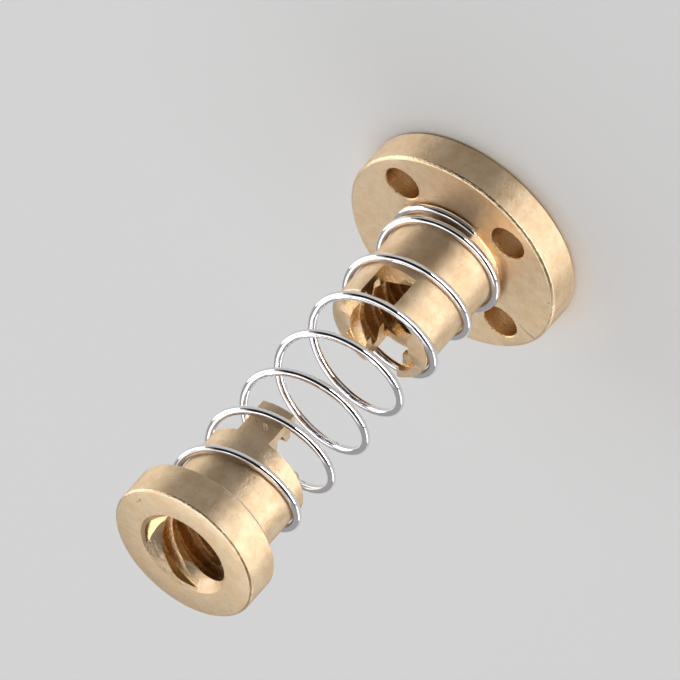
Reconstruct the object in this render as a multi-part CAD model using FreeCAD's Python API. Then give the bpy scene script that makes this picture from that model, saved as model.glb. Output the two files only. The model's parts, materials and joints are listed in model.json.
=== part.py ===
"""Spring-loaded anti-backlash nut for an 8 mm, four-start trapezoidal lead screw.

The frame stands on the flange: the origin is the centre of the flange's mounting face,
and +Z runs along the screw axis towards the collar's front face. The spring is relaxed.
The bolt holes lie at 45 degrees to X and Y. The slots and tongues face along Y, but for a
few degrees of turn, because they are milled with no fixed relation to the holes.
"""
import FreeCAD, Part
import math
import os

# Flange nut, all lengths in millimetres
FLANGE_D = 22.0
FLANGE_THICK = 3.6
FLANGE_EDGE = 0.25
BARREL_D = 10.2
BARREL_EDGE = 0.12
NUT_LENGTH = 15.0
BOLT_CIRCLE_D = 16.0
BOLT_HOLE_D = 3.5
BOLT_COUNT = 4
SLOT_WIDTH = 3.5
SLOT_DEPTH = 3.6
SLOT_TURN = 6.0

# Collar nut, with the height of the relaxed assembly
RELAXED_HEIGHT = 45.3
HEAD_D = 14.6
HEAD_LENGTH = 3.65
HEAD_FRONT_EDGE = 0.2
HEAD_BACK_EDGE = 0.15
COLLAR_LENGTH = 11.15
TONGUE_WIDTH = 3.3
TONGUE_LENGTH = 4.05

# Bore at the thread's crests, countersunk where the screw enters: a wide cone to the throat,
# and a steeper one from there to the crests
CREST_D = 6.2
MOUTH_D = 9.0
THROAT_D = 7.3
THROAT_DEPTH = 0.85
MOUTH_DEPTH = 1.6

# Spring of round wire: one closed turn on the flange, and an end coil nearly flat on the shoulder
WIRE_D = 0.8
SPRING_MEAN_D = 11.2
SPRING_TURNS = 8.51
CLOSED_TURNS = 1.0
CLOSED_PITCH = 0.84
SEATED_TURNS = 0.7
SEATED_PITCH = 0.25
PITCH_BLEND = 0.35
SPRING_START = 244.0
SEAT_GAP = 0.02
BENDS_PER_TURN = 12

# How far a cutting tool runs past what it cuts
OVERRUN = 1.0

UP = FreeCAD.Vector(0, 0, 1)


def turned(profile):
    """A solid of revolution about Z from its outline, given as (radius, height) corners."""
    corners = [FreeCAD.Vector(radius, 0, height) for radius, height in profile]
    outline = Part.makePolygon(corners + corners[:1])
    return Part.Face(outline).revolve(FreeCAD.Vector(), UP, 360)


def block(middle, width, depth, low, high):
    """A box between two heights, its middle so far along X, turned with the slots."""
    corner = FreeCAD.Vector(middle - width / 2, -depth / 2, low)
    box = Part.makeBox(width, depth, high - low, corner)
    box.rotate(FreeCAD.Vector(), UP, SLOT_TURN)
    return box


def bore(low, high):
    """A round cutter at the thread's crests, open past both heights."""
    return Part.makeCylinder(CREST_D / 2, high - low + 2 * OVERRUN, UP * (low - OVERRUN))


def mouth(face_height, inward):
    """The cones of a countersink; inward is 1 when the bore runs up from the face, -1 when down."""
    wide = MOUTH_D / 2
    throat = THROAT_D / 2
    crest = CREST_D / 2
    flare = (wide - throat) / THROAT_DEPTH * OVERRUN
    return turned([
        (0, face_height - inward * OVERRUN),
        (wide + flare, face_height - inward * OVERRUN),
        (throat, face_height + inward * THROAT_DEPTH),
        (crest, face_height + inward * MOUTH_DEPTH),
        (0, face_height + inward * MOUTH_DEPTH),
    ])


def bolt_holes():
    """Cutters for the plain holes in the flange, at 45 degrees to X and Y."""
    holes = []
    for index in range(BOLT_COUNT):
        angle = math.radians(360 / BOLT_COUNT * (index + 0.5))
        centre = FreeCAD.Vector(math.cos(angle), math.sin(angle), 0) * (BOLT_CIRCLE_D / 2)
        length = FLANGE_THICK + 2 * OVERRUN
        holes.append(Part.makeCylinder(BOLT_HOLE_D / 2, length, centre - UP * OVERRUN))
    return holes


def make_flange_nut():
    """Round flange and barrel in one, bored right through, with two open slots at the free end."""
    flange = FLANGE_D / 2
    barrel = BARREL_D / 2
    body = turned([
        (0, 0),
        (flange - FLANGE_EDGE, 0),
        (flange, FLANGE_EDGE),
        (flange, FLANGE_THICK - FLANGE_EDGE),
        (flange - FLANGE_EDGE, FLANGE_THICK),
        (barrel, FLANGE_THICK),
        (barrel, NUT_LENGTH - BARREL_EDGE),
        (barrel - BARREL_EDGE, NUT_LENGTH),
        (0, NUT_LENGTH),
    ])
    slots = block(0, SLOT_WIDTH, FLANGE_D, NUT_LENGTH - SLOT_DEPTH, NUT_LENGTH + OVERRUN)
    return body.cut([bore(0, NUT_LENGTH), mouth(0, 1), slots] + bolt_holes())


def make_collar_nut():
    """Round head and barrel in one, with two tongues that run into the flange nut's slots."""
    head = HEAD_D / 2
    barrel = BARREL_D / 2
    shoulder = RELAXED_HEIGHT - HEAD_LENGTH
    barrel_end = RELAXED_HEIGHT - COLLAR_LENGTH
    tip = barrel_end - TONGUE_LENGTH
    body = turned([
        (0, tip),
        (barrel - BARREL_EDGE, tip),
        (barrel, tip + BARREL_EDGE),
        (barrel, shoulder),
        (head - HEAD_BACK_EDGE, shoulder),
        (head, shoulder + HEAD_BACK_EDGE),
        (head, RELAXED_HEIGHT - HEAD_FRONT_EDGE),
        (head - HEAD_FRONT_EDGE, RELAXED_HEIGHT),
        (0, RELAXED_HEIGHT),
    ])
    cuts = [bore(tip, RELAXED_HEIGHT), mouth(RELAXED_HEIGHT, -1)]
    for side in (-1, 1):
        beside_tongues = side * (TONGUE_WIDTH + HEAD_D) / 2
        cuts.append(block(beside_tongues, HEAD_D, HEAD_D, tip - OVERRUN, barrel_end))
    return body.cut(cuts)


def opened_turns(turns_past):
    """Turns run at the open pitch, where the pitch opens evenly over a short blend about 0."""
    if abs(turns_past) < PITCH_BLEND / 2:
        return (turns_past + PITCH_BLEND / 2) ** 2 / (2 * PITCH_BLEND)
    return max(turns_past, 0.0)


def corner_stand_off():
    """How far out the corners stand, so that a turn of straight bends is as wide as a round one."""
    bend = 2 * math.pi / BENDS_PER_TURN
    return math.sqrt(bend / math.sin(bend))


def wire_centre(turn):
    """Where the wire's centre is after so many turns from the flange."""
    low = FLANGE_THICK + WIRE_D / 2 + SEAT_GAP
    high = RELAXED_HEIGHT - HEAD_LENGTH - WIRE_D / 2 - SEAT_GAP
    open_turns = SPRING_TURNS - CLOSED_TURNS - SEATED_TURNS
    eased = CLOSED_PITCH - SEATED_PITCH
    added_pitch = (high - low - SPRING_TURNS * CLOSED_PITCH + SEATED_TURNS * eased) / open_turns
    past_closed = opened_turns(turn - CLOSED_TURNS)
    past_open = opened_turns(turn - CLOSED_TURNS - open_turns)
    angle = math.radians(SPRING_START) + 2 * math.pi * turn
    radius = SPRING_MEAN_D / 2 * corner_stand_off()
    return FreeCAD.Vector(
        radius * math.cos(angle),
        radius * math.sin(angle),
        low + turn * CLOSED_PITCH + past_closed * added_pitch - past_open * (added_pitch + eased),
    )


def make_spring():
    """Right-hand compression spring, cut square at both ends, in short straight bends."""
    bends = round(SPRING_TURNS * BENDS_PER_TURN)
    centres = [wire_centre(SPRING_TURNS * bend / bends) for bend in range(bends + 1)]
    section = Part.makeCircle(WIRE_D / 2, centres[0], centres[1] - centres[0])
    mitred = 1
    return Part.makePolygon(centres).makePipeShell([Part.Wire(section)], True, False, mitred)


def write(name, shape):
    """Writes one piece as its own STEP file, after a test that it is one sound solid."""
    if not shape.isValid() or len(shape.Solids) != 1:
        raise ValueError(name + " isn't one valid solid")
    shape.Solids[0].exportStep(os.path.join("parts", name + ".step"))
    print(name, "volume", round(shape.Volume, 2), "faces", len(shape.Faces))


os.makedirs("parts", exist_ok=True)
write("flange_nut", make_flange_nut())
write("collar_nut", make_collar_nut())
write("spring", make_spring())
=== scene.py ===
"""Spring-loaded lead screw nut: two turned brass nuts and the spring between them, dressed and lit."""
import json
import math
import bmesh
import bpy
from bpy.props import FloatProperty, FloatVectorProperty, IntProperty, PointerProperty
from mathutils import Matrix, Vector

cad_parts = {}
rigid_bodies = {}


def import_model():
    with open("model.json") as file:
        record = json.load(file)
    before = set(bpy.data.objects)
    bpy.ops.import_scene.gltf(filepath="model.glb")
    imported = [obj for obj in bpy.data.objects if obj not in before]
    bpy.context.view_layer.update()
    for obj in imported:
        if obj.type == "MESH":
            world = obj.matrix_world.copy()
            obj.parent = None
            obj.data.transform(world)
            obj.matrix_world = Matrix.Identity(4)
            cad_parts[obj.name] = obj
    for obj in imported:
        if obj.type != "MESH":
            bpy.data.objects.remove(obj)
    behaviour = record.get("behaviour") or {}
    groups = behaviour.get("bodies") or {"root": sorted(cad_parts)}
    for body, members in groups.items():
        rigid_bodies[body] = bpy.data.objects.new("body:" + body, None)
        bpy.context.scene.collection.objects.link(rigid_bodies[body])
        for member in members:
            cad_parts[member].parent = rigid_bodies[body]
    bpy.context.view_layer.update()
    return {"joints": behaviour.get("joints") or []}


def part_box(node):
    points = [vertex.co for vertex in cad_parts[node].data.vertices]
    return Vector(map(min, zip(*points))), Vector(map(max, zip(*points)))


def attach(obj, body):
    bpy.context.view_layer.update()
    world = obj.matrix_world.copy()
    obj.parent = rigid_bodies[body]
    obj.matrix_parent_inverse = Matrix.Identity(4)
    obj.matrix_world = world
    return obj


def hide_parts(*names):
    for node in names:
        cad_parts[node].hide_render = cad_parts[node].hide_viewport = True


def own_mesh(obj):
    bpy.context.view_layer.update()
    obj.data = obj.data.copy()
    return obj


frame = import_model()

bl_info = {
    "name": "Lead Screw Nut",
    "version": (1, 0, 0),
    "blender": (4, 5, 0),
    "location": "View3D > Sidebar > Lead Nut",
    "description": "Builds a spring-loaded nut for an 8 mm lead screw, piece by piece, with its stage",
    "category": "Object",
}

# The meshes are worked this much larger than life, so that the tools' tolerances stay small
# beside them. All sizes down to the marks below are in these larger units.
GROWN = 1000.0
MERGE_DISTANCE = 0.0005

# How far a tool runs past what it cuts, and the hollow core that a blank is turned with
OVERRUN = 1.0
CORE_RADIUS = 1.0
CORE_CLEARANCE = 0.5

# How finely round shapes are divided
ROUND_STEPS = 192
HOLE_STEPS = 72
TOOTH_STEPS = 20
TWIST_STEPS_PER_TURN = 72
WIRE_STEPS_PER_TURN = 96
WIRE_SIDES = 24

# Widths of the small edge breaks, and the angles between faces above which they are made
TURNED_EDGE = 0.05
MILLED_EDGE = 0.05
TURNED_CORNER = math.radians(20)
THREAD_CORNER = math.radians(30)
MILLED_CORNER = math.radians(35)

# An edge of the tap that rises less than this runs round an end, not along the thread
LEAST_RISE = 0.01

# Angles above which the nuts' shading breaks, and the wire's at its cut ends
SHADED_CORNER = math.radians(30)
WIRE_CORNER = 1.0

# Order of the brass finishes in each nut's material slots, by the tool that leaves them. The bored finish's
# colour also holds a painted glow of light bounced about inside the bores.
TURNED, FACED, BORED, EDGED = range(4)

# How far up a face's normal points, below which it is a wall and above which a flat face
UPRIGHT = 0.3
LEVEL = 0.95

# Scratches, dots and one clean dent: both ends, half the width, and how dark each is
MARKS = (
    ((-7.75, 4.52, 3.6), (-8.55, 5.08, 3.6), 0.08, 0.9),
    ((-8.55, 5.08, 3.6), (-9.31, 5.21, 3.6), 0.08, 0.9),
    ((-10.43, -0.73, 3.6), (-10.37, -0.73, 3.6), 0.14, 0.9),
    ((4.94, -3.72, 45.3), (5.0, -3.72, 45.3), 0.11, 0.9),
    ((4.74, -4.2, 45.3), (4.74, -4.08, 45.3), 0.1, 0.9),
    ((0.32, -5.09, 32.6), (0.0, -5.1, 32.96), 0.24, 0.1),
)

# Noise heights between which a blotch comes in
CLOUD_LOW = 0.35
CLOUD_HIGH = 0.65

# How strongly a pit shows, how gently it sets in, and how deep a mark is beside the grain
PIT_STRENGTH = 0.5
PIT_SOFTNESS = 0.15
MARK_DEPTH = 2.0

# How much a blotch changes the roughness, on the round walls and on every other face
TURNED_SPREAD = 0.02
EVEN_SPREAD = 0.05

# The floor's half side in metres, and how many times nearer and farther than its aim the
# camera sees
FLOOR_REACH = 1.5
CLIP_RATIO = 10

# Upright panels on the floor: name, degrees anticlockwise from the camera's azimuth, then
# distance, width and height in metres, and radiance
PANELS = (
    ("left_panel", -48.0, 0.20, 0.38, 0.055, 10.0),
    ("left_fill", -114.0, 0.20, 0.13, 0.055, 2.0),
    ("right_panel", 115.0, 0.25, 0.23, 0.20, 1.4),
)

# Square boxes above: name, degrees anticlockwise from the camera's azimuth and above the
# horizon, then distance and size in metres, and radiance
BOXES = (
    ("overhead_box", 180.0, 80.0, 0.60, 0.80, 1.6),
    ("high_box", 98.0, 40.0, 0.50, 0.22, 0.8),
)

# The world is pale about a direction behind the nut, in degrees from the camera's azimuth and
# above the horizon. It turns from dark to pale between two cosines of the angle from there.
PALE_SIDE = (170.0, 10.0)
PALE_COSINES = (-0.1, 0.35)
WORLD_STRENGTHS = (0.02, 0.38)

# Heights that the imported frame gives
NUT_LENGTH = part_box("flange_nut")[1][2]
COLLAR_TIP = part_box("collar_nut")[0][2]
RELAXED_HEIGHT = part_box("collar_nut")[1][2]
SLIDE = next(joint for joint in frame["joints"] if joint["name"] == "collar_slide")
TRAVEL = max(SLIDE["range_m"])


def length(name, description, default):
    """A size in metres that the panel shows in the scene's unit."""
    return FloatProperty(
        name=name, description=description, default=default,
        unit="LENGTH", subtype="DISTANCE", precision=5,
    )


def angle(name, description, degrees):
    """An angle that the panel shows in degrees."""
    return FloatProperty(
        name=name, description=description, default=math.radians(degrees),
        unit="ROTATION", subtype="ANGLE",
    )


def colour(name, description, default):
    """A surface colour, in linear red, green and blue."""
    return FloatVectorProperty(
        name=name, description=description, default=default,
        size=3, min=0.0, max=1.0, subtype="COLOR",
    )


def share(name, description, default):
    """A value from 0 to 1."""
    return FloatProperty(
        name=name, description=description, default=default,
        min=0.0, max=1.0, subtype="FACTOR",
    )


def plain(name, description, default):
    """A number with no unit."""
    return FloatProperty(name=name, description=description, default=default)


class FlangeNutSizes(bpy.types.PropertyGroup):
    """Sizes of the flange nut, and of the barrels and slots that both nuts share"""

    flange_diameter: length("Flange diameter", "Across the round flange", 0.022)
    flange_thickness: length("Flange thickness", "From the mounting face to the spring's face", 0.0036)
    flange_edge: length("Flange chamfer", "Chamfer round both edges of the flange", 0.00025)
    barrel_diameter: length("Barrel diameter", "Outside of both barrels", 0.0102)
    barrel_edge: length("Barrel chamfer", "Edge break at the barrel's free end", 0.00012)
    height: length("Length", "From the mounting face to the barrel's free end", NUT_LENGTH)
    hole_circle: length("Hole circle", "Diameter of the circle through the bolt holes", 0.016)
    hole_diameter: length("Hole diameter", "Across each bolt hole", 0.0035)
    hole_edge: length("Hole chamfer", "Edge break round each bolt hole", 0.0001)
    hole_count: IntProperty(name="Hole count", description="Bolt holes in the flange", default=4, min=1)
    slot_width: length("Slot width", "Across each open slot", 0.0035)
    slot_depth: length("Slot depth", "From the barrel's free end to the slot's bottom", 0.0036)
    slot_turn: angle("Slot turn", "Turn of the slots and tongues from midway between the bolt holes", 6.0)


class CollarNutSizes(bpy.types.PropertyGroup):
    """Sizes of the collar nut"""

    head_diameter: length("Head diameter", "Across the round head", 0.0146)
    head_length: length("Head length", "From the front face to the shoulder", 0.00365)
    front_edge: length("Front chamfer", "Chamfer round the front face", 0.0002)
    back_edge: length("Back chamfer", "Chamfer round the shoulder", 0.00015)
    height: length("Height", "From the frame's origin to the front face at rest", RELAXED_HEIGHT)
    tip_height: length("Tip height", "From the frame's origin to the tongues' tips", COLLAR_TIP)
    tongue_width: length("Tongue width", "Across each tongue", 0.0033)
    tongue_length: length("Tongue length", "How far each tongue stands out of the barrel", 0.00405)


class ThreadSizes(bpy.types.PropertyGroup):
    """Sizes of the thread and the countersinks in both nuts"""

    crest_diameter: length("Crest diameter", "Across the thread's crests", 0.0062)
    root_diameter: length("Root diameter", "Across the thread's grooves", 0.0085)
    lead: length("Lead", "How far the thread rises in one turn", 0.008)
    starts: IntProperty(name="Starts", description="Threads that run side by side", default=4, min=1)
    crest_share: share("Crest share", "How much of the pitch each crest takes", 0.32)
    flank_share: share("Flank share", "How much of the pitch each sloping flank takes", 0.15)
    crest_edge: length("Crest edge", "Edge break along the crests", 0.00007)
    mouth_diameter: length("Mouth diameter", "Across each countersink at its face", 0.009)
    throat_diameter: length("Throat diameter", "Across a countersink where its cone steepens", 0.0073)
    throat_depth: length("Throat depth", "How deep the countersink's cone steepens", 0.00085)
    mouth_depth: length("Mouth depth", "How deep each countersink reaches the crests", 0.0016)
    flange_phase: angle("Flange phase", "Where a crest of the flange nut crosses the origin's height", 54.0)
    collar_phase: angle("Collar phase", "Where a crest of the collar nut crosses the origin's height", 7.0)


class SpringSizes(bpy.types.PropertyGroup):
    """Sizes of the spring"""

    wire_diameter: length("Wire diameter", "Thickness of the round wire", 0.0008)
    mean_diameter: length("Mean diameter", "Across the coil at the wire's middle", 0.0112)
    turns: plain("Turns", "All turns, with the end coils", 8.51)
    closed_turns: plain("Closed turns", "Turns that lie close together on the flange", 1.0)
    closed_pitch: length("Closed pitch", "Rise of a closed turn", 0.00084)
    seated_turns: plain("Seated turns", "Turns that lie nearly flat on the collar's shoulder", 0.7)
    seated_pitch: length("Seated pitch", "Rise of a seated turn", 0.00025)
    blend: plain("Blend", "Turns over which the pitch opens", 0.35)
    start: angle("Start", "Where the wire starts on the flange, measured from +X", 244.0)
    seat_gap: length("Seat gap", "Room between the wire and the face that it rests on", 0.00002)


class BrassFinish(bpy.types.PropertyGroup):
    """Colours, sheen and tool marks of both nuts' brass"""

    face: colour("Brass", "Clean brass", (0.84, 0.66, 0.45))
    warm: colour("Warm brass", "The redder brass of the faint blotches", (0.74, 0.53, 0.32))
    # The bores' colour is brass made lighter and more amber than the clean brass: a painted glow of light
    # bounced about inside the bores and holes
    bore_brass_and_glow: colour("Bored brass", "The amber brass inside the bores and holes", (0.94, 0.65, 0.33))
    pitted: colour("Pitted brass", "The duller brown of the fine pits and marks", (0.34, 0.23, 0.13))
    lay: share("Lay", "How much the turning lines draw out a reflection", 1.0)
    turned_roughness: share("Turned roughness", "Sheen of the round walls", 0.44)
    faced_roughness: share("Faced roughness", "Sheen of the flat faces", 0.36)
    bored_roughness: share("Bored roughness", "Sheen of the bores and holes", 0.28)
    edged_roughness: share("Chamfer roughness", "Sheen of the chamfers", 0.16)
    blotch_size: length("Blotch size", "Size of the faint warm blotches", 0.0014)
    grain_size: length("Grain size", "Size of the fine grain", 0.0003)
    grain_depth: length("Grain depth", "How deep the fine grain looks", 0.00005)
    pit_level: share("Pit level", "The grain below this height is a pit", 0.42)
    line_pitch: length("Line pitch", "Spacing of the turning lines", 0.00012)
    line_depth: length("Line depth", "How deep the turning lines look", 0.000004)
    ring_pitch: length("Ring pitch", "Spacing of the drill's rings in the bores", 0.0003)
    ring_depth: length("Ring depth", "How deep the drill's rings look", 0.00004)


class WireFinish(bpy.types.PropertyGroup):
    """Colour and sheen of the spring's wire"""

    face: colour("Wire", "Bright drawn steel", (0.82, 0.80, 0.83))
    roughness: share("Roughness", "Sheen of the wire", 0.08)


class StageSizes(bpy.types.PropertyGroup):
    """The floor's look, and the place of the camera"""

    floor: colour("Floor", "Colour of the floor", (0.80, 0.80, 0.80))
    floor_roughness: share("Floor roughness", "Sheen of the floor", 0.9)
    azimuth: angle("Azimuth", "Direction from the nut to the camera, measured from +X", 248.16)
    elevation: angle("Elevation", "Height of the camera above the horizon", 31.54)
    roll: angle("Roll", "Turn of the camera about its line of sight", -138.22)
    distance: length("Distance", "From the camera to its aim", 1.06145)
    aim_x: length("Aim X", "Where the camera looks, along X", 0.001426)
    aim_y: length("Aim Y", "Where the camera looks, along Y", -0.00242)
    aim_z: length("Aim Z", "Where the camera looks, above the floor", 0.019205)
    lens: FloatProperty(
        name="Lens", description="Focal length on the 36 mm sensor", default=635.29, unit="CAMERA",
    )


def grown(value):
    """A size in metres, in the larger units that the meshes are worked in."""
    return value * GROWN


def lathe_finish(face):
    """The finish that a lathe leaves on a face, by its slope."""
    upward = abs(face.normal.z)
    if upward < UPRIGHT:
        return TURNED
    if upward > LEVEL:
        return FACED
    return EDGED


def scratch_object(name, bm, finish=None):
    """An object that a boolean can use, with its tool's finish, or else the lathe's."""
    bmesh.ops.recalc_face_normals(bm, faces=bm.faces)
    for face in bm.faces:
        face.material_index = lathe_finish(face) if finish is None else finish
    mesh = bpy.data.meshes.new(name)
    bm.to_mesh(mesh)
    bm.free()
    for material in nut_finishes():
        mesh.materials.append(material)
    made = bpy.data.objects.new(name, mesh)
    bpy.context.scene.collection.objects.link(made)
    return made


def sharp_edges(bm, least_angle):
    """The edges between two faces that meet at more than an angle."""
    return [
        edge for edge in bm.edges
        if len(edge.link_faces) == 2 and edge.calc_face_angle() > least_angle
    ]


def break_edges(bm, edges, width, segments=2):
    """Rounds edges by a small width."""
    bmesh.ops.bevel(
        bm, geom=edges, offset=width, offset_type="OFFSET", affect="EDGES", segments=segments,
        profile=0.5, material=-1, clamp_overlap=True,
    )


def turned(name, profile):
    """A turned body from its (radius, height) corners, hollow at the core, with rounded corners."""
    bm = bmesh.new()
    outline = [(CORE_RADIUS, profile[0][1]), *profile, (CORE_RADIUS, profile[-1][1])]
    corners = [bm.verts.new((radius, 0.0, height)) for radius, height in outline]
    edges = [bm.edges.new(pair) for pair in zip(corners, corners[1:] + corners[:1])]
    bmesh.ops.spin(
        bm, geom=corners + edges, cent=(0, 0, 0), axis=(0, 0, 1),
        angle=math.tau, steps=ROUND_STEPS, use_merge=True,
    )
    bmesh.ops.recalc_face_normals(bm, faces=bm.faces)
    outer = [
        edge for edge in sharp_edges(bm, TURNED_CORNER)
        if min(vert.co.xy.length for vert in edge.verts) > CORE_RADIUS + CORE_CLEARANCE
    ]
    break_edges(bm, outer, TURNED_EDGE)
    return scratch_object(name, bm)


def rod(name, rings, finish, centre=(0.0, 0.0)):
    """A closed round tool through (radius, height) rings, standing at a centre."""
    bm = bmesh.new()
    radius, height = rings[0]
    place = Matrix.Translation((centre[0], centre[1], height))
    bmesh.ops.create_circle(bm, cap_ends=True, segments=HOLE_STEPS, radius=radius, matrix=place)
    bm.faces.ensure_lookup_table()
    bottom = top = bm.faces[0]
    about_centre = Matrix.Translation((-centre[0], -centre[1], 0))
    for (radius_before, height_before), (radius_after, height_after) in zip(rings, rings[1:]):
        parts = bmesh.ops.extrude_face_region(bm, geom=[top])["geom"]
        if top != bottom:
            bmesh.ops.delete(bm, geom=[top], context="FACES_ONLY")
        corners = [part for part in parts if isinstance(part, bmesh.types.BMVert)]
        top = next(part for part in parts if isinstance(part, bmesh.types.BMFace))
        bmesh.ops.translate(bm, verts=corners, vec=(0, 0, height_after - height_before))
        wider = radius_after / radius_before
        bmesh.ops.scale(bm, verts=corners, vec=(wider, wider, 1), space=about_centre)
    return scratch_object(name, bm, finish)


def slab(name, low, high, turn, finish):
    """A box between two corners, then turned about the Z axis."""
    bm = bmesh.new()
    low, high = Vector(low), Vector(high)
    centred = Matrix.Translation((low + high) / 2) @ Matrix.Diagonal((*(high - low), 1.0))
    place = Matrix.Rotation(turn, 4, "Z") @ centred
    bmesh.ops.create_cube(bm, size=1.0, matrix=place)
    return scratch_object(name, bm, finish)


def tap(name, thread, low, high, phase):
    """A closed tool with the thread's section, twisted up the axis between two heights."""
    crest = grown(thread.crest_diameter) / 2
    depth = grown(thread.root_diameter) / 2 - crest
    start_angle = math.tau / thread.starts
    lead = grown(thread.lead)
    low -= OVERRUN
    high += OVERRUN
    turns = (high - low) / lead
    bm = bmesh.new()
    bmesh.ops.create_circle(bm, cap_ends=True, segments=TOOTH_STEPS * thread.starts, radius=crest)
    for vert in bm.verts:
        turn = math.atan2(vert.co.y, vert.co.x) % start_angle
        from_crest = min(turn, start_angle - turn) / start_angle
        sunk = min(max((from_crest - thread.crest_share / 2) / thread.flank_share, 0.0), 1.0)
        vert.co *= 1 + sunk * depth / crest
    start = Matrix.Rotation(phase + math.tau * low / lead, 3, "Z")
    bmesh.ops.rotate(bm, verts=bm.verts, cent=(0, 0, 0), matrix=start)
    bmesh.ops.translate(bm, verts=bm.verts, vec=(0, 0, low))
    steps = round(turns * TWIST_STEPS_PER_TURN)
    ring = list(bm.verts) + list(bm.edges)
    last = bmesh.ops.spin(
        bm, geom=ring, cent=(0, 0, 0), axis=(0, 0, 1), dvec=(0, 0, (high - low) / steps),
        angle=math.tau * turns, steps=steps,
    )["geom_last"]
    rim = [part for part in last if isinstance(part, bmesh.types.BMEdge)]
    bmesh.ops.contextual_create(bm, geom=rim)
    bmesh.ops.recalc_face_normals(bm, faces=bm.faces)
    helical = []
    for edge in sharp_edges(bm, THREAD_CORNER):
        if abs(edge.verts[0].co.z - edge.verts[1].co.z) > LEAST_RISE:
            helical.append(edge)
    break_edges(bm, helical, grown(thread.crest_edge), segments=1)
    return scratch_object(name, bm, BORED)


def cut(name, body, tools):
    """Takes every tool's solid out of a piece's blank, and gives the clean mesh back as a bmesh."""
    for tool in tools:
        modifier = body.modifiers.new(tool.name, "BOOLEAN")
        modifier.object = tool
        modifier.operation = "DIFFERENCE"
        modifier.solver = "EXACT"
    seen = body.evaluated_get(bpy.context.evaluated_depsgraph_get())
    mesh = bpy.data.meshes.new_from_object(seen)
    bm = bmesh.new()
    bm.from_mesh(mesh)
    bpy.data.meshes.remove(mesh)
    for used in [body, *tools]:
        old = used.data
        bpy.data.objects.remove(used)
        bpy.data.meshes.remove(old)
    bmesh.ops.remove_doubles(bm, verts=bm.verts, dist=MERGE_DISTANCE)
    bmesh.ops.dissolve_degenerate(bm, edges=bm.edges, dist=MERGE_DISTANCE)
    if not bm.faces:
        raise RuntimeError(f"nothing of {name} is left after its cuts")
    return bm


def finished(name, bm, body):
    """Brings a worked mesh to life size as a piece that rides on a body in place of its own solid."""
    bmesh.ops.scale(bm, verts=bm.verts, vec=(1 / GROWN,) * 3)
    mesh = bpy.data.meshes.new(name)
    bm.to_mesh(mesh)
    bm.free()
    mesh.shade_smooth()
    mesh.set_sharp_from_angle(angle=SHADED_CORNER)
    for material in nut_finishes():
        mesh.materials.append(material)
    piece = bpy.data.objects.new(name, mesh)
    bpy.context.scene.collection.objects.link(piece)
    weighted = piece.modifiers.new("Even shading", "WEIGHTED_NORMAL")
    weighted.keep_sharp = True
    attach(piece, body)
    return piece


def outside_bore(edge, thread):
    """True for an edge that lies wholly outside the thread's grooves."""
    least = grown(thread.root_diameter) / 2 + MILLED_EDGE
    return min(vert.co.xy.length for vert in edge.verts) > least


def mouth(thread, face, outward):
    """The countersink's two cones at a face; outward is 1 for an upper face, -1 for a lower one."""
    wide = grown(thread.mouth_diameter) / 2
    throat = grown(thread.throat_diameter) / 2
    throat_depth = grown(thread.throat_depth)
    crest = grown(thread.crest_diameter) / 2
    depth = grown(thread.mouth_depth)
    flare = (wide - throat) / throat_depth * OVERRUN
    taper = (throat - crest) / (depth - throat_depth) * OVERRUN
    rings = [
        (crest - taper, face - outward * (depth + OVERRUN)),
        (throat, face - outward * throat_depth),
        (wide + flare, face + outward * OVERRUN),
    ]
    return rod("countersink", rings[::outward], FACED)


def drills(sizes):
    """The tools for the bolt holes, each slightly flared at both faces."""
    radius = grown(sizes.hole_diameter) / 2
    edge = grown(sizes.hole_edge)
    thick = grown(sizes.flange_thickness)
    rings = [
        (radius + edge + OVERRUN, -OVERRUN),
        (radius, edge),
        (radius, thick - edge),
        (radius + edge + OVERRUN, thick + OVERRUN),
    ]
    reach = grown(sizes.hole_circle) / 2
    made = []
    for index in range(sizes.hole_count):
        turn = math.tau * (index + 0.5) / sizes.hole_count
        centre = (reach * math.cos(turn), reach * math.sin(turn))
        made.append(rod(f"drill_{index}", rings, BORED, centre))
    return made


class LEADNUT_OT_flange_nut(bpy.types.Operator):
    """Turn, bore, thread, drill and slot the flange nut"""

    bl_idname = "leadnut.flange_nut"
    bl_label = "Flange Nut"
    bl_options = {"REGISTER", "UNDO"}

    def execute(self, context):
        sizes = context.scene.flange_nut_sizes
        thread = context.scene.thread_sizes
        flange = grown(sizes.flange_diameter) / 2
        thick = grown(sizes.flange_thickness)
        edge = grown(sizes.flange_edge)
        barrel = grown(sizes.barrel_diameter) / 2
        end_edge = grown(sizes.barrel_edge)
        end = grown(sizes.height)
        body = turned("flange_nut_blank", [
            (flange - edge, 0.0),
            (flange, edge),
            (flange, thick - edge),
            (flange - edge, thick),
            (barrel, thick),
            (barrel, end - end_edge),
            (barrel - end_edge, end),
        ])
        slot = grown(sizes.slot_width) / 2
        bottom = end - grown(sizes.slot_depth)
        slot_low = (-slot, -flange, bottom)
        slot_high = (slot, flange, end + OVERRUN)
        tools = [
            tap("flange_tap", thread, 0.0, end, thread.flange_phase),
            mouth(thread, 0.0, -1),
            slab("slot_mill", slot_low, slot_high, sizes.slot_turn, BORED),
            *drills(sizes),
        ]
        bm = cut("flange_nut", body, tools)
        milled = [
            edge for edge in sharp_edges(bm, MILLED_CORNER)
            if outside_bore(edge, thread)
            and min(vert.co.z for vert in edge.verts) > bottom - MILLED_EDGE
        ]
        break_edges(bm, milled, MILLED_EDGE)
        piece = finished("flange_nut_brass", bm, "flange_nut")
        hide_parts("flange_nut")
        return {"FINISHED"}


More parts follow.
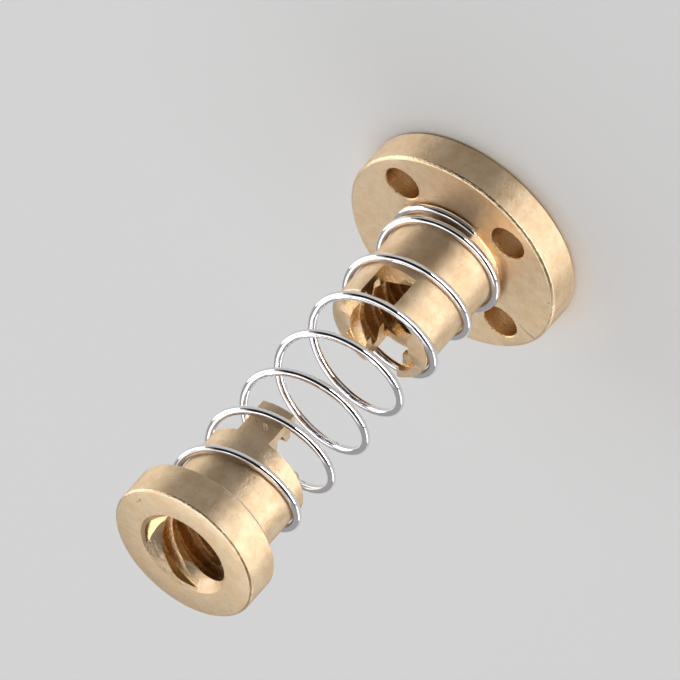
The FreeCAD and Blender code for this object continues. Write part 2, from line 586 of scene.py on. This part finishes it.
class LEADNUT_OT_collar_nut(bpy.types.Operator):
    """Turn, bore and thread the collar nut, and mill its two tongues"""

    bl_idname = "leadnut.collar_nut"
    bl_label = "Collar Nut"
    bl_options = {"REGISTER", "UNDO"}

    def execute(self, context):
        sizes = context.scene.collar_nut_sizes
        thread = context.scene.thread_sizes
        flange_sizes = context.scene.flange_nut_sizes
        head = grown(sizes.head_diameter) / 2
        barrel = grown(flange_sizes.barrel_diameter) / 2
        end_edge = grown(flange_sizes.barrel_edge)
        front = grown(sizes.height)
        tip = grown(sizes.tip_height)
        shoulder = front - grown(sizes.head_length)
        front_edge = grown(sizes.front_edge)
        back_edge = grown(sizes.back_edge)
        body = turned("collar_nut_blank", [
            (barrel - end_edge, tip),
            (barrel, tip + end_edge),
            (barrel, shoulder),
            (head - back_edge, shoulder),
            (head, shoulder + back_edge),
            (head, front - front_edge),
            (head - front_edge, front),
        ])
        tongue = grown(sizes.tongue_width) / 2
        barrel_end = tip + grown(sizes.tongue_length)
        tools = [
            tap("collar_tap", thread, tip, front, thread.collar_phase),
            mouth(thread, front, 1),
        ]
        for side in (-1, 1):
            near, far = sorted((side * tongue, side * (barrel + OVERRUN)))
            mill_low = (near, -head, tip - OVERRUN)
            mill_high = (far, head, barrel_end)
            mill = slab(f"tongue_mill_{side + 1}", mill_low, mill_high, flange_sizes.slot_turn, FACED)
            tools.append(mill)
        bm = cut("collar_nut", body, tools)
        milled = [
            edge for edge in sharp_edges(bm, MILLED_CORNER)
            if outside_bore(edge, thread)
            and max(vert.co.z for vert in edge.verts) < barrel_end + MILLED_EDGE
        ]
        break_edges(bm, milled, MILLED_EDGE)
        piece = finished("collar_nut_brass", bm, "collar_nut")
        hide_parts("collar_nut")
        return {"FINISHED"}


def linked(tree, kind, inputs=(), **settings):
    """A node of a tree with its settings made and its inputs set or joined, by name or place."""
    node = tree.nodes.new(kind)
    for name, value in settings.items():
        setattr(node, name, value)
    for key, value in dict(inputs).items():
        if isinstance(value, bpy.types.NodeSocket):
            tree.links.new(value, node.inputs[key])
        else:
            node.inputs[key].default_value = value
    return node


def math_node(tree, operation, *values):
    """The result of one sum on sockets and numbers."""
    return linked(tree, "ShaderNodeMath", enumerate(values), operation=operation).outputs[0]


def wire_sweep(sizes, material):
    """Geometry nodes that space a coil's turns from its present height and sweep its round wire."""
    tree = bpy.data.node_groups.new("Wire sweep", "GeometryNodeTree")
    tree.interface.new_socket("Coil", in_out="INPUT", socket_type="NodeSocketGeometry")
    tree.interface.new_socket("Spring", in_out="OUTPUT", socket_type="NodeSocketGeometry")
    coil = tree.nodes.new("NodeGroupInput").outputs["Coil"]
    position = tree.nodes.new("GeometryNodeInputPosition").outputs[0]
    place = linked(tree, "ShaderNodeSeparateXYZ", {0: position})
    height = place.outputs["Z"]
    ends = linked(tree, "GeometryNodeAttributeStatistic", {"Geometry": coil, "Attribute": height})
    size = linked(tree, "GeometryNodeAttributeDomainSize", {"Geometry": coil})
    count = size.outputs["Point Count"]
    index = tree.nodes.new("GeometryNodeInputIndex").outputs[0]
    along = math_node(tree, "DIVIDE", index, math_node(tree, "SUBTRACT", count, 1.0))
    turn = math_node(tree, "MULTIPLY", along, sizes.turns)
    open_turns = sizes.turns - sizes.closed_turns - sizes.seated_turns
    eased = sizes.closed_pitch - sizes.seated_pitch
    past_closed = math_node(tree, "SUBTRACT", turn, sizes.closed_turns)
    past_open = math_node(tree, "SUBTRACT", past_closed, open_turns)
    closed_height = sizes.turns * sizes.closed_pitch - sizes.seated_turns * eased
    spare = math_node(tree, "SUBTRACT", ends.outputs["Range"], closed_height)
    pitch = math_node(tree, "DIVIDE", spare, open_turns)
    closed_rise = math_node(tree, "MULTIPLY", turn, sizes.closed_pitch)
    opened = math_node(tree, "SMOOTH_MAX", past_closed, 0.0, sizes.blend)
    open_rise = math_node(tree, "MULTIPLY", opened, pitch)
    seated = math_node(tree, "SMOOTH_MAX", past_open, 0.0, sizes.blend)
    flattened = math_node(tree, "MULTIPLY", seated, math_node(tree, "ADD", pitch, eased))
    rise = math_node(tree, "SUBTRACT", math_node(tree, "ADD", closed_rise, open_rise), flattened)
    spaced_height = math_node(tree, "ADD", rise, ends.outputs["Min"])
    spaced_place = linked(tree, "ShaderNodeCombineXYZ", {
        "X": place.outputs["X"], "Y": place.outputs["Y"], "Z": spaced_height,
    })
    spaced = linked(tree, "GeometryNodeSetPosition", {
        "Geometry": coil, "Position": spaced_place.outputs[0],
    })
    line = linked(tree, "GeometryNodeMeshToCurve", {"Mesh": spaced.outputs[0]})
    section = linked(tree, "GeometryNodeCurvePrimitiveCircle", {
        "Resolution": WIRE_SIDES, "Radius": sizes.wire_diameter / 2,
    })
    swept = linked(tree, "GeometryNodeCurveToMesh", {
        "Curve": line.outputs[0], "Profile Curve": section.outputs[0], "Fill Caps": True,
    })
    smooth = linked(tree, "GeometryNodeSetShadeSmooth", {"Geometry": swept.outputs[0]})
    corner = tree.nodes.new("GeometryNodeInputMeshEdgeAngle").outputs["Unsigned Angle"]
    rims = linked(tree, "FunctionNodeCompare", {0: corner, 1: WIRE_CORNER}, operation="GREATER_THAN")
    crisp = linked(tree, "GeometryNodeSetShadeSmooth", {
        "Geometry": smooth.outputs[0], "Selection": rims.outputs[0], "Shade Smooth": False,
    }, domain="EDGE")
    faced = linked(tree, "GeometryNodeSetMaterial", {
        "Geometry": crisp.outputs[0], "Material": material,
    })
    linked(tree, "NodeGroupOutput", {"Spring": faced.outputs[0]})
    return tree


class LEADNUT_OT_spring(bpy.types.Operator):
    """Wind the spring from the flange to the collar's shoulder"""

    bl_idname = "leadnut.spring"
    bl_label = "Spring"
    bl_options = {"REGISTER", "UNDO"}

    def execute(self, context):
        sizes = context.scene.spring_sizes
        flange_sizes = context.scene.flange_nut_sizes
        collar_sizes = context.scene.collar_nut_sizes
        inset = sizes.wire_diameter / 2 + sizes.seat_gap
        low = flange_sizes.flange_thickness + inset
        high = collar_sizes.height - collar_sizes.head_length - inset
        keep = (high - low - TRAVEL) / (high - low)
        if not 0 < keep < 1:
            raise RuntimeError("the slide's travel doesn't fit in the spring's height")
        steps = round(sizes.turns * WIRE_STEPS_PER_TURN)
        reach = sizes.mean_diameter / 2
        bm = bmesh.new()
        first = bm.verts.new((reach * math.cos(sizes.start), reach * math.sin(sizes.start), low))
        bmesh.ops.spin(
            bm, geom=[first], cent=(0, 0, 0), axis=(0, 0, 1), dvec=(0, 0, (high - low) / steps),
            angle=math.tau * sizes.turns, steps=steps,
        )
        mesh = bpy.data.meshes.new("spring_wire")
        bm.to_mesh(mesh)
        bm.free()
        material = spring_steel(context.scene.wire_finish)
        mesh.materials.append(material)
        piece = bpy.data.objects.new("spring_wire", mesh)
        context.scene.collection.objects.link(piece)
        sweep = piece.modifiers.new("Wire sweep", "NODES")
        sweep.node_group = wire_sweep(sizes, material)
        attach(piece, "flange_nut")
        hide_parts("spring")
        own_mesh(piece)
        return {"FINISHED"}


def shader_group(name, inputs, outputs):
    """A new shader node group with its sockets, and its two end nodes."""
    tree = bpy.data.node_groups.new(name, "ShaderNodeTree")
    for socket, kind in inputs.items():
        tree.interface.new_socket(socket, in_out="INPUT", socket_type=kind)
    for socket, kind in outputs.items():
        tree.interface.new_socket(socket, in_out="OUTPUT", socket_type=kind)
    return tree, tree.nodes.new("NodeGroupInput").outputs, tree.nodes.new("NodeGroupOutput").inputs


def turning_lines():
    """Fine rings about the Z axis, on round walls and flat faces alike, as a height."""
    made = bpy.data.node_groups.get("Turning lines")
    if made:
        return made
    made, given, results = shader_group(
        "Turning lines",
        {"Position": "NodeSocketVector", "Pitch": "NodeSocketFloat"},
        {"Height": "NodeSocketFloat"},
    )
    place = linked(made, "ShaderNodeSeparateXYZ", {0: given["Position"]}).outputs
    level = linked(made, "ShaderNodeCombineXYZ", {"X": place["X"], "Y": place["Y"]})
    radius = linked(made, "ShaderNodeVectorMath", {0: level.outputs[0]}, operation="LENGTH")
    across = linked(made, "ShaderNodeCombineXYZ", {"X": radius.outputs["Value"], "Y": place["Z"]})
    fineness = math_node(made, "DIVIDE", 1.0, given["Pitch"])
    noise = linked(made, "ShaderNodeTexNoise", {
        "Vector": across.outputs[0], "Scale": fineness, "Detail": 1.0,
    }, noise_dimensions="2D")
    made.links.new(noise.outputs["Fac"], results["Height"])
    return made


def drill_rings():
    """The rings that a drill or tap leaves along a bore, as a height."""
    made = bpy.data.node_groups.get("Drill rings")
    if made:
        return made
    made, given, results = shader_group(
        "Drill rings",
        {"Position": "NodeSocketVector", "Pitch": "NodeSocketFloat"},
        {"Height": "NodeSocketFloat"},
    )
    place = linked(made, "ShaderNodeSeparateXYZ", {0: given["Position"]}).outputs
    fineness = math_node(made, "DIVIDE", 1.0, given["Pitch"])
    noise = linked(made, "ShaderNodeTexNoise", {
        "W": place["Z"], "Scale": fineness, "Detail": 2.0,
    }, noise_dimensions="1D")
    made.links.new(noise.outputs["Fac"], results["Height"])
    return made


def small_marks():
    """How deep and how dark the few small marks are, each along a line between two points."""
    made = bpy.data.node_groups.get("Small marks")
    if made:
        return made
    made, given, results = shader_group(
        "Small marks",
        {"Position": "NodeSocketVector"},
        {"Depth": "NodeSocketFloat", "Stain": "NodeSocketFloat"},
    )
    depth = stain = 0.0
    for start, end, half_width, darkness in MARKS:
        start = Vector(start) / GROWN
        run = Vector(end) / GROWN - start
        from_start = linked(made, "ShaderNodeVectorMath", {
            0: given["Position"], 1: start,
        }, operation="SUBTRACT").outputs["Vector"]
        reached = linked(made, "ShaderNodeVectorMath", {
            0: from_start, 1: run / run.length_squared,
        }, operation="DOT_PRODUCT").outputs["Value"]
        along = linked(made, "ShaderNodeClamp", {"Value": reached}).outputs["Result"]
        nearest = linked(made, "ShaderNodeVectorMath", {
            0: run, "Scale": along,
        }, operation="SCALE").outputs["Vector"]
        away = linked(made, "ShaderNodeVectorMath", {
            0: from_start, 1: nearest,
        }, operation="DISTANCE").outputs["Value"]
        inside = linked(made, "ShaderNodeMapRange", {
            "Value": away, "From Min": half_width / GROWN, "From Max": 0.0,
        }, interpolation_type="SMOOTHSTEP").outputs["Result"]
        depth = math_node(made, "MAXIMUM", depth, inside)
        stain = math_node(made, "MAXIMUM", stain, math_node(made, "MULTIPLY", inside, darkness))
    made.links.new(depth, results["Depth"])
    made.links.new(stain, results["Stain"])
    return made


def brass_grain():
    """Fine grain with the small marks in it as a height, and a mask of the pits and marks."""
    made = bpy.data.node_groups.get("Brass grain")
    if made:
        return made
    made, given, results = shader_group(
        "Brass grain",
        {"Position": "NodeSocketVector", "Size": "NodeSocketFloat", "Pit level": "NodeSocketFloat"},
        {"Height": "NodeSocketFloat", "Pits": "NodeSocketFloat"},
    )
    fineness = math_node(made, "DIVIDE", 1.0, given["Size"])
    noise = linked(made, "ShaderNodeTexNoise", {
        "Vector": given["Position"], "Scale": fineness, "Detail": 4.0, "Roughness": 0.7,
    }).outputs["Fac"]
    deepest = math_node(made, "SUBTRACT", given["Pit level"], PIT_SOFTNESS)
    pits = linked(made, "ShaderNodeMapRange", {
        "Value": noise, "From Min": given["Pit level"], "From Max": deepest,
    }).outputs["Result"]
    marks = linked(made, "ShaderNodeGroup", node_tree=small_marks())
    made.links.new(given["Position"], marks.inputs["Position"])
    sunk = math_node(made, "MULTIPLY", marks.outputs["Depth"], MARK_DEPTH)
    made.links.new(math_node(made, "SUBTRACT", noise, sunk), results["Height"])
    faint = math_node(made, "MULTIPLY", pits, PIT_STRENGTH)
    made.links.new(math_node(made, "MAXIMUM", faint, marks.outputs["Stain"]), results["Pits"])
    return made


def new_material(name):
    """A material with only its output, and its tree."""
    material = bpy.data.materials.new(name)
    material.use_nodes = True
    tree = material.node_tree
    tree.nodes.clear()
    return material, tree


def brass_bump(tree, where, finish, marks, pitch, depth):
    """The tool's marks and the grain over them as a normal, and the grain's pits."""
    tool = linked(tree, "ShaderNodeGroup", node_tree=marks)
    tree.links.new(where, tool.inputs["Position"])
    tool.inputs["Pitch"].default_value = pitch
    scored = linked(tree, "ShaderNodeBump", {
        "Height": tool.outputs["Height"], "Strength": 1.0, "Distance": depth,
    })
    grain = linked(tree, "ShaderNodeGroup", node_tree=brass_grain())
    tree.links.new(where, grain.inputs["Position"])
    grain.inputs["Size"].default_value = finish.grain_size
    grain.inputs["Pit level"].default_value = finish.pit_level
    bump = linked(tree, "ShaderNodeBump", {
        "Height": grain.outputs["Height"], "Strength": 1.0, "Distance": finish.grain_depth,
        "Normal": scored.outputs[0],
    })
    return bump.outputs[0], grain.outputs["Pits"]


def brass_tint(tree, where, finish, clean, pits):
    """The brass's colour, with its blotches and pits, and the blotches' mask."""
    cloud = linked(tree, "ShaderNodeTexNoise", {
        "Vector": where, "Scale": 1 / finish.blotch_size, "Detail": 5.0, "Roughness": 0.6,
    }).outputs["Fac"]
    blotch = linked(tree, "ShaderNodeMapRange", {
        "Value": cloud, "From Min": CLOUD_LOW, "From Max": CLOUD_HIGH,
    }).outputs["Result"]
    tint = linked(tree, "ShaderNodeMix", {
        "Factor": blotch, "A": (*clean, 1.0), "B": (*finish.warm, 1.0),
    }, data_type="RGBA")
    dulled = linked(tree, "ShaderNodeMix", {
        "Factor": pits, "A": tint.outputs["Result"], "B": (*finish.pitted, 1.0),
    }, data_type="RGBA")
    return dulled.outputs["Result"], blotch


def uneven(tree, mask, value, spread):
    """A roughness that varies with a mask about a value."""
    return linked(tree, "ShaderNodeMapRange", {
        "Value": mask, "To Min": value - spread, "To Max": value + spread,
    }).outputs["Result"]


def turned_brass(finish):
    """The round walls: satin, with reflections drawn out along the axis by the turning lines."""
    made, tree = new_material("turned_brass")
    where = tree.nodes.new("ShaderNodeTexCoord").outputs["Object"]
    lines = (turning_lines(), finish.line_pitch, finish.line_depth)
    normal, pits = brass_bump(tree, where, finish, *lines)
    tint, blotch = brass_tint(tree, where, finish, finish.face, pits)
    along_axis = linked(tree, "ShaderNodeCombineXYZ", {"Z": 1.0}).outputs[0]
    surface = linked(tree, "ShaderNodeBsdfPrincipled", {
        "Base Color": tint,
        "Metallic": 1.0,
        "Roughness": uneven(tree, blotch, finish.turned_roughness, TURNED_SPREAD),
        "Anisotropic": finish.lay,
        "Tangent": along_axis,
        "Normal": normal,
    })
    linked(tree, "ShaderNodeOutputMaterial", {"Surface": surface.outputs[0]})
    return made


def even_brass(name, finish, clean, roughness, marks, pitch, depth):
    """A brass whose sheen is the same in every direction, with one kind of tool marks."""
    made, tree = new_material(name)
    where = tree.nodes.new("ShaderNodeTexCoord").outputs["Object"]
    normal, pits = brass_bump(tree, where, finish, marks, pitch, depth)
    tint, blotch = brass_tint(tree, where, finish, clean, pits)
    surface = linked(tree, "ShaderNodeBsdfPrincipled", {
        "Base Color": tint,
        "Metallic": 1.0,
        "Roughness": uneven(tree, blotch, roughness, EVEN_SPREAD),
        "Normal": normal,
    })
    linked(tree, "ShaderNodeOutputMaterial", {"Surface": surface.outputs[0]})
    return made


def nut_finishes():
    """The brass finishes in the order of a nut's material slots, made once for both nuts."""
    names = ("turned_brass", "faced_brass", "bored_brass_and_glow", "edged_brass")
    made = [bpy.data.materials.get(name) for name in names]
    if all(made):
        return made
    finish = bpy.context.scene.brass_finish
    lines = (turning_lines(), finish.line_pitch, finish.line_depth)
    rings = (drill_rings(), finish.ring_pitch, finish.ring_depth)
    return [
        turned_brass(finish),
        even_brass("faced_brass", finish, finish.face, finish.faced_roughness, *lines),
        # The bores' colour carries a painted glow of bounced light, on top of the bored finish's own sheen
        # and drill rings
        even_brass("bored_brass_and_glow", finish, finish.bore_brass_and_glow, finish.bored_roughness, *rings),
        even_brass("edged_brass", finish, finish.face, finish.edged_roughness, *lines),
    ]


def spring_steel(finish):
    """Bright drawn steel wire."""
    made, tree = new_material("spring_steel")
    surface = linked(tree, "ShaderNodeBsdfPrincipled", {
        "Base Color": (*finish.face, 1.0),
        "Metallic": 1.0,
        "Roughness": finish.roughness,
    })
    linked(tree, "ShaderNodeOutputMaterial", {"Surface": surface.outputs[0]})
    return made


def floor_surface(stage):
    """Plain pale matt floor."""
    made, tree = new_material("pale_floor")
    surface = linked(tree, "ShaderNodeBsdfPrincipled", {
        "Base Color": (*stage.floor, 1.0),
        "Roughness": stage.floor_roughness,
    })
    linked(tree, "ShaderNodeOutputMaterial", {"Surface": surface.outputs[0]})
    return made


def bearing(azimuth, elevation):
    """The unit vector of a direction."""
    level = math.cos(elevation)
    return Vector((level * math.cos(azimuth), level * math.sin(azimuth), math.sin(elevation)))


def facing(back, roll=0.0):
    """The turn of a lamp or camera whose back points along a direction."""
    return back.to_track_quat("Z", "Y").to_matrix() @ Matrix.Rotation(roll, 3, "Z")


def placed(place, turn):
    """The matrix that puts an object at a place with a turn."""
    return Matrix.Translation(place) @ turn.to_4x4()


def studio_world(stage):
    """A world that is pale behind the nut and dark behind the camera."""
    world = bpy.data.worlds.new("studio")
    world.use_nodes = True
    tree = world.node_tree
    tree.nodes.clear()
    where = tree.nodes.new("ShaderNodeTexCoord").outputs["Generated"]
    azimuth, elevation = (math.radians(degrees) for degrees in PALE_SIDE)
    pale = tuple(bearing(stage.azimuth + azimuth, elevation))
    toward = linked(tree, "ShaderNodeVectorMath", {0: where, 1: pale}, operation="DOT_PRODUCT")
    level = linked(tree, "ShaderNodeMapRange", {
        "Value": toward.outputs["Value"],
        "From Min": PALE_COSINES[0],
        "From Max": PALE_COSINES[1],
        "To Min": WORLD_STRENGTHS[0],
        "To Max": WORLD_STRENGTHS[1],
    }, interpolation_type="SMOOTHSTEP")
    light = linked(tree, "ShaderNodeBackground", {
        "Color": (1.0, 1.0, 1.0, 1.0), "Strength": level.outputs[0],
    })
    linked(tree, "ShaderNodeOutputWorld", {"Surface": light.outputs[0]})
    return world


def soft_lamp(name, place, back, width, height, radiance):
    """A soft lamp at a place, its back to a direction and unseen by the camera."""
    light = bpy.data.lights.new(name, "AREA")
    light.shape = "RECTANGLE"
    light.size = width
    light.size_y = height
    light.energy = radiance * math.pi * width * height
    made = bpy.data.objects.new(name, light)
    made.matrix_world = placed(place, facing(back))
    made.visible_camera = False
    bpy.context.scene.collection.objects.link(made)
    return made


class LEADNUT_OT_stage(bpy.types.Operator):
    """Lay the floor and set the lamps, the world's light and the camera"""

    bl_idname = "leadnut.stage"
    bl_label = "Stage"
    bl_options = {"REGISTER", "UNDO"}

    def execute(self, context):
        scene = context.scene
        stage = scene.stage_sizes
        bm = bmesh.new()
        bmesh.ops.create_grid(bm, x_segments=1, y_segments=1, size=FLOOR_REACH)
        mesh = bpy.data.meshes.new("floor")
        bm.to_mesh(mesh)
        bm.free()
        mesh.materials.append(floor_surface(stage))
        floor = bpy.data.objects.new("floor", mesh)
        scene.collection.objects.link(floor)

        back = bearing(stage.azimuth, stage.elevation)
        camera = bpy.data.objects.new("camera", bpy.data.cameras.new("camera"))
        camera.data.lens = stage.lens
        camera.data.clip_start = stage.distance / CLIP_RATIO
        camera.data.clip_end = stage.distance * CLIP_RATIO
        aim = Vector((stage.aim_x, stage.aim_y, stage.aim_z))
        camera.matrix_world = placed(aim + back * stage.distance, facing(back, stage.roll))
        scene.collection.objects.link(camera)
        scene.camera = camera

        scene.world = studio_world(stage)
        scene.view_settings.view_transform = "Standard"

        # The panels light only the pieces, so that they leave no hard-edged glow on the floor
        nut = bpy.data.collections.new("nut")
        for piece in scene.objects:
            if piece.type == "MESH" and piece != floor:
                nut.objects.link(piece)
        for name, azimuth, distance, width, height, radiance in PANELS:
            back = bearing(stage.azimuth + math.radians(azimuth), 0.0)
            place = back * distance + Vector((0, 0, height / 2))
            panel = soft_lamp(name, place, back, width, height, radiance)
            panel.light_linking.receiver_collection = nut
        for name, azimuth, elevation, distance, size, radiance in BOXES:
            back = bearing(stage.azimuth + math.radians(azimuth), math.radians(elevation))
            soft_lamp(name, back * distance, back, size, size, radiance)
        return {"FINISHED"}


class LEADNUT_PT_panel(bpy.types.Panel):
    """The nut's operators and sizes"""

    bl_idname = "LEADNUT_PT_panel"
    bl_label = "Lead Screw Nut"
    bl_space_type = "VIEW_3D"
    bl_region_type = "UI"
    bl_category = "Lead Nut"

    def draw(self, context):
        for operator in OPERATORS:
            self.layout.operator(operator.bl_idname)
        for name, group in GROUPS.items():
            box = self.layout.box()
            for field in group.__annotations__:
                box.prop(getattr(context.scene, name), field)


GROUPS = {
    "flange_nut_sizes": FlangeNutSizes,
    "collar_nut_sizes": CollarNutSizes,
    "thread_sizes": ThreadSizes,
    "spring_sizes": SpringSizes,
    "brass_finish": BrassFinish,
    "wire_finish": WireFinish,
    "stage_sizes": StageSizes,
}
OPERATORS = (LEADNUT_OT_flange_nut, LEADNUT_OT_collar_nut, LEADNUT_OT_spring, LEADNUT_OT_stage)


def register():
    """Registers the classes, and hangs the sizes on the scene."""
    for made in (*GROUPS.values(), *OPERATORS, LEADNUT_PT_panel):
        bpy.utils.register_class(made)
    for name, group in GROUPS.items():
        setattr(bpy.types.Scene, name, PointerProperty(type=group))


def unregister():
    """Takes the sizes off the scene, and the classes out."""
    for name in GROUPS:
        delattr(bpy.types.Scene, name)
    for made in (LEADNUT_PT_panel, *reversed(OPERATORS), *reversed(list(GROUPS.values()))):
        bpy.utils.unregister_class(made)


def main():
    """Registers the classes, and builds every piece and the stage."""
    register()
    bpy.ops.leadnut.flange_nut()
    bpy.ops.leadnut.collar_nut()
    bpy.ops.leadnut.spring()
    bpy.ops.leadnut.stage()


if __name__ == "__main__":
    main()
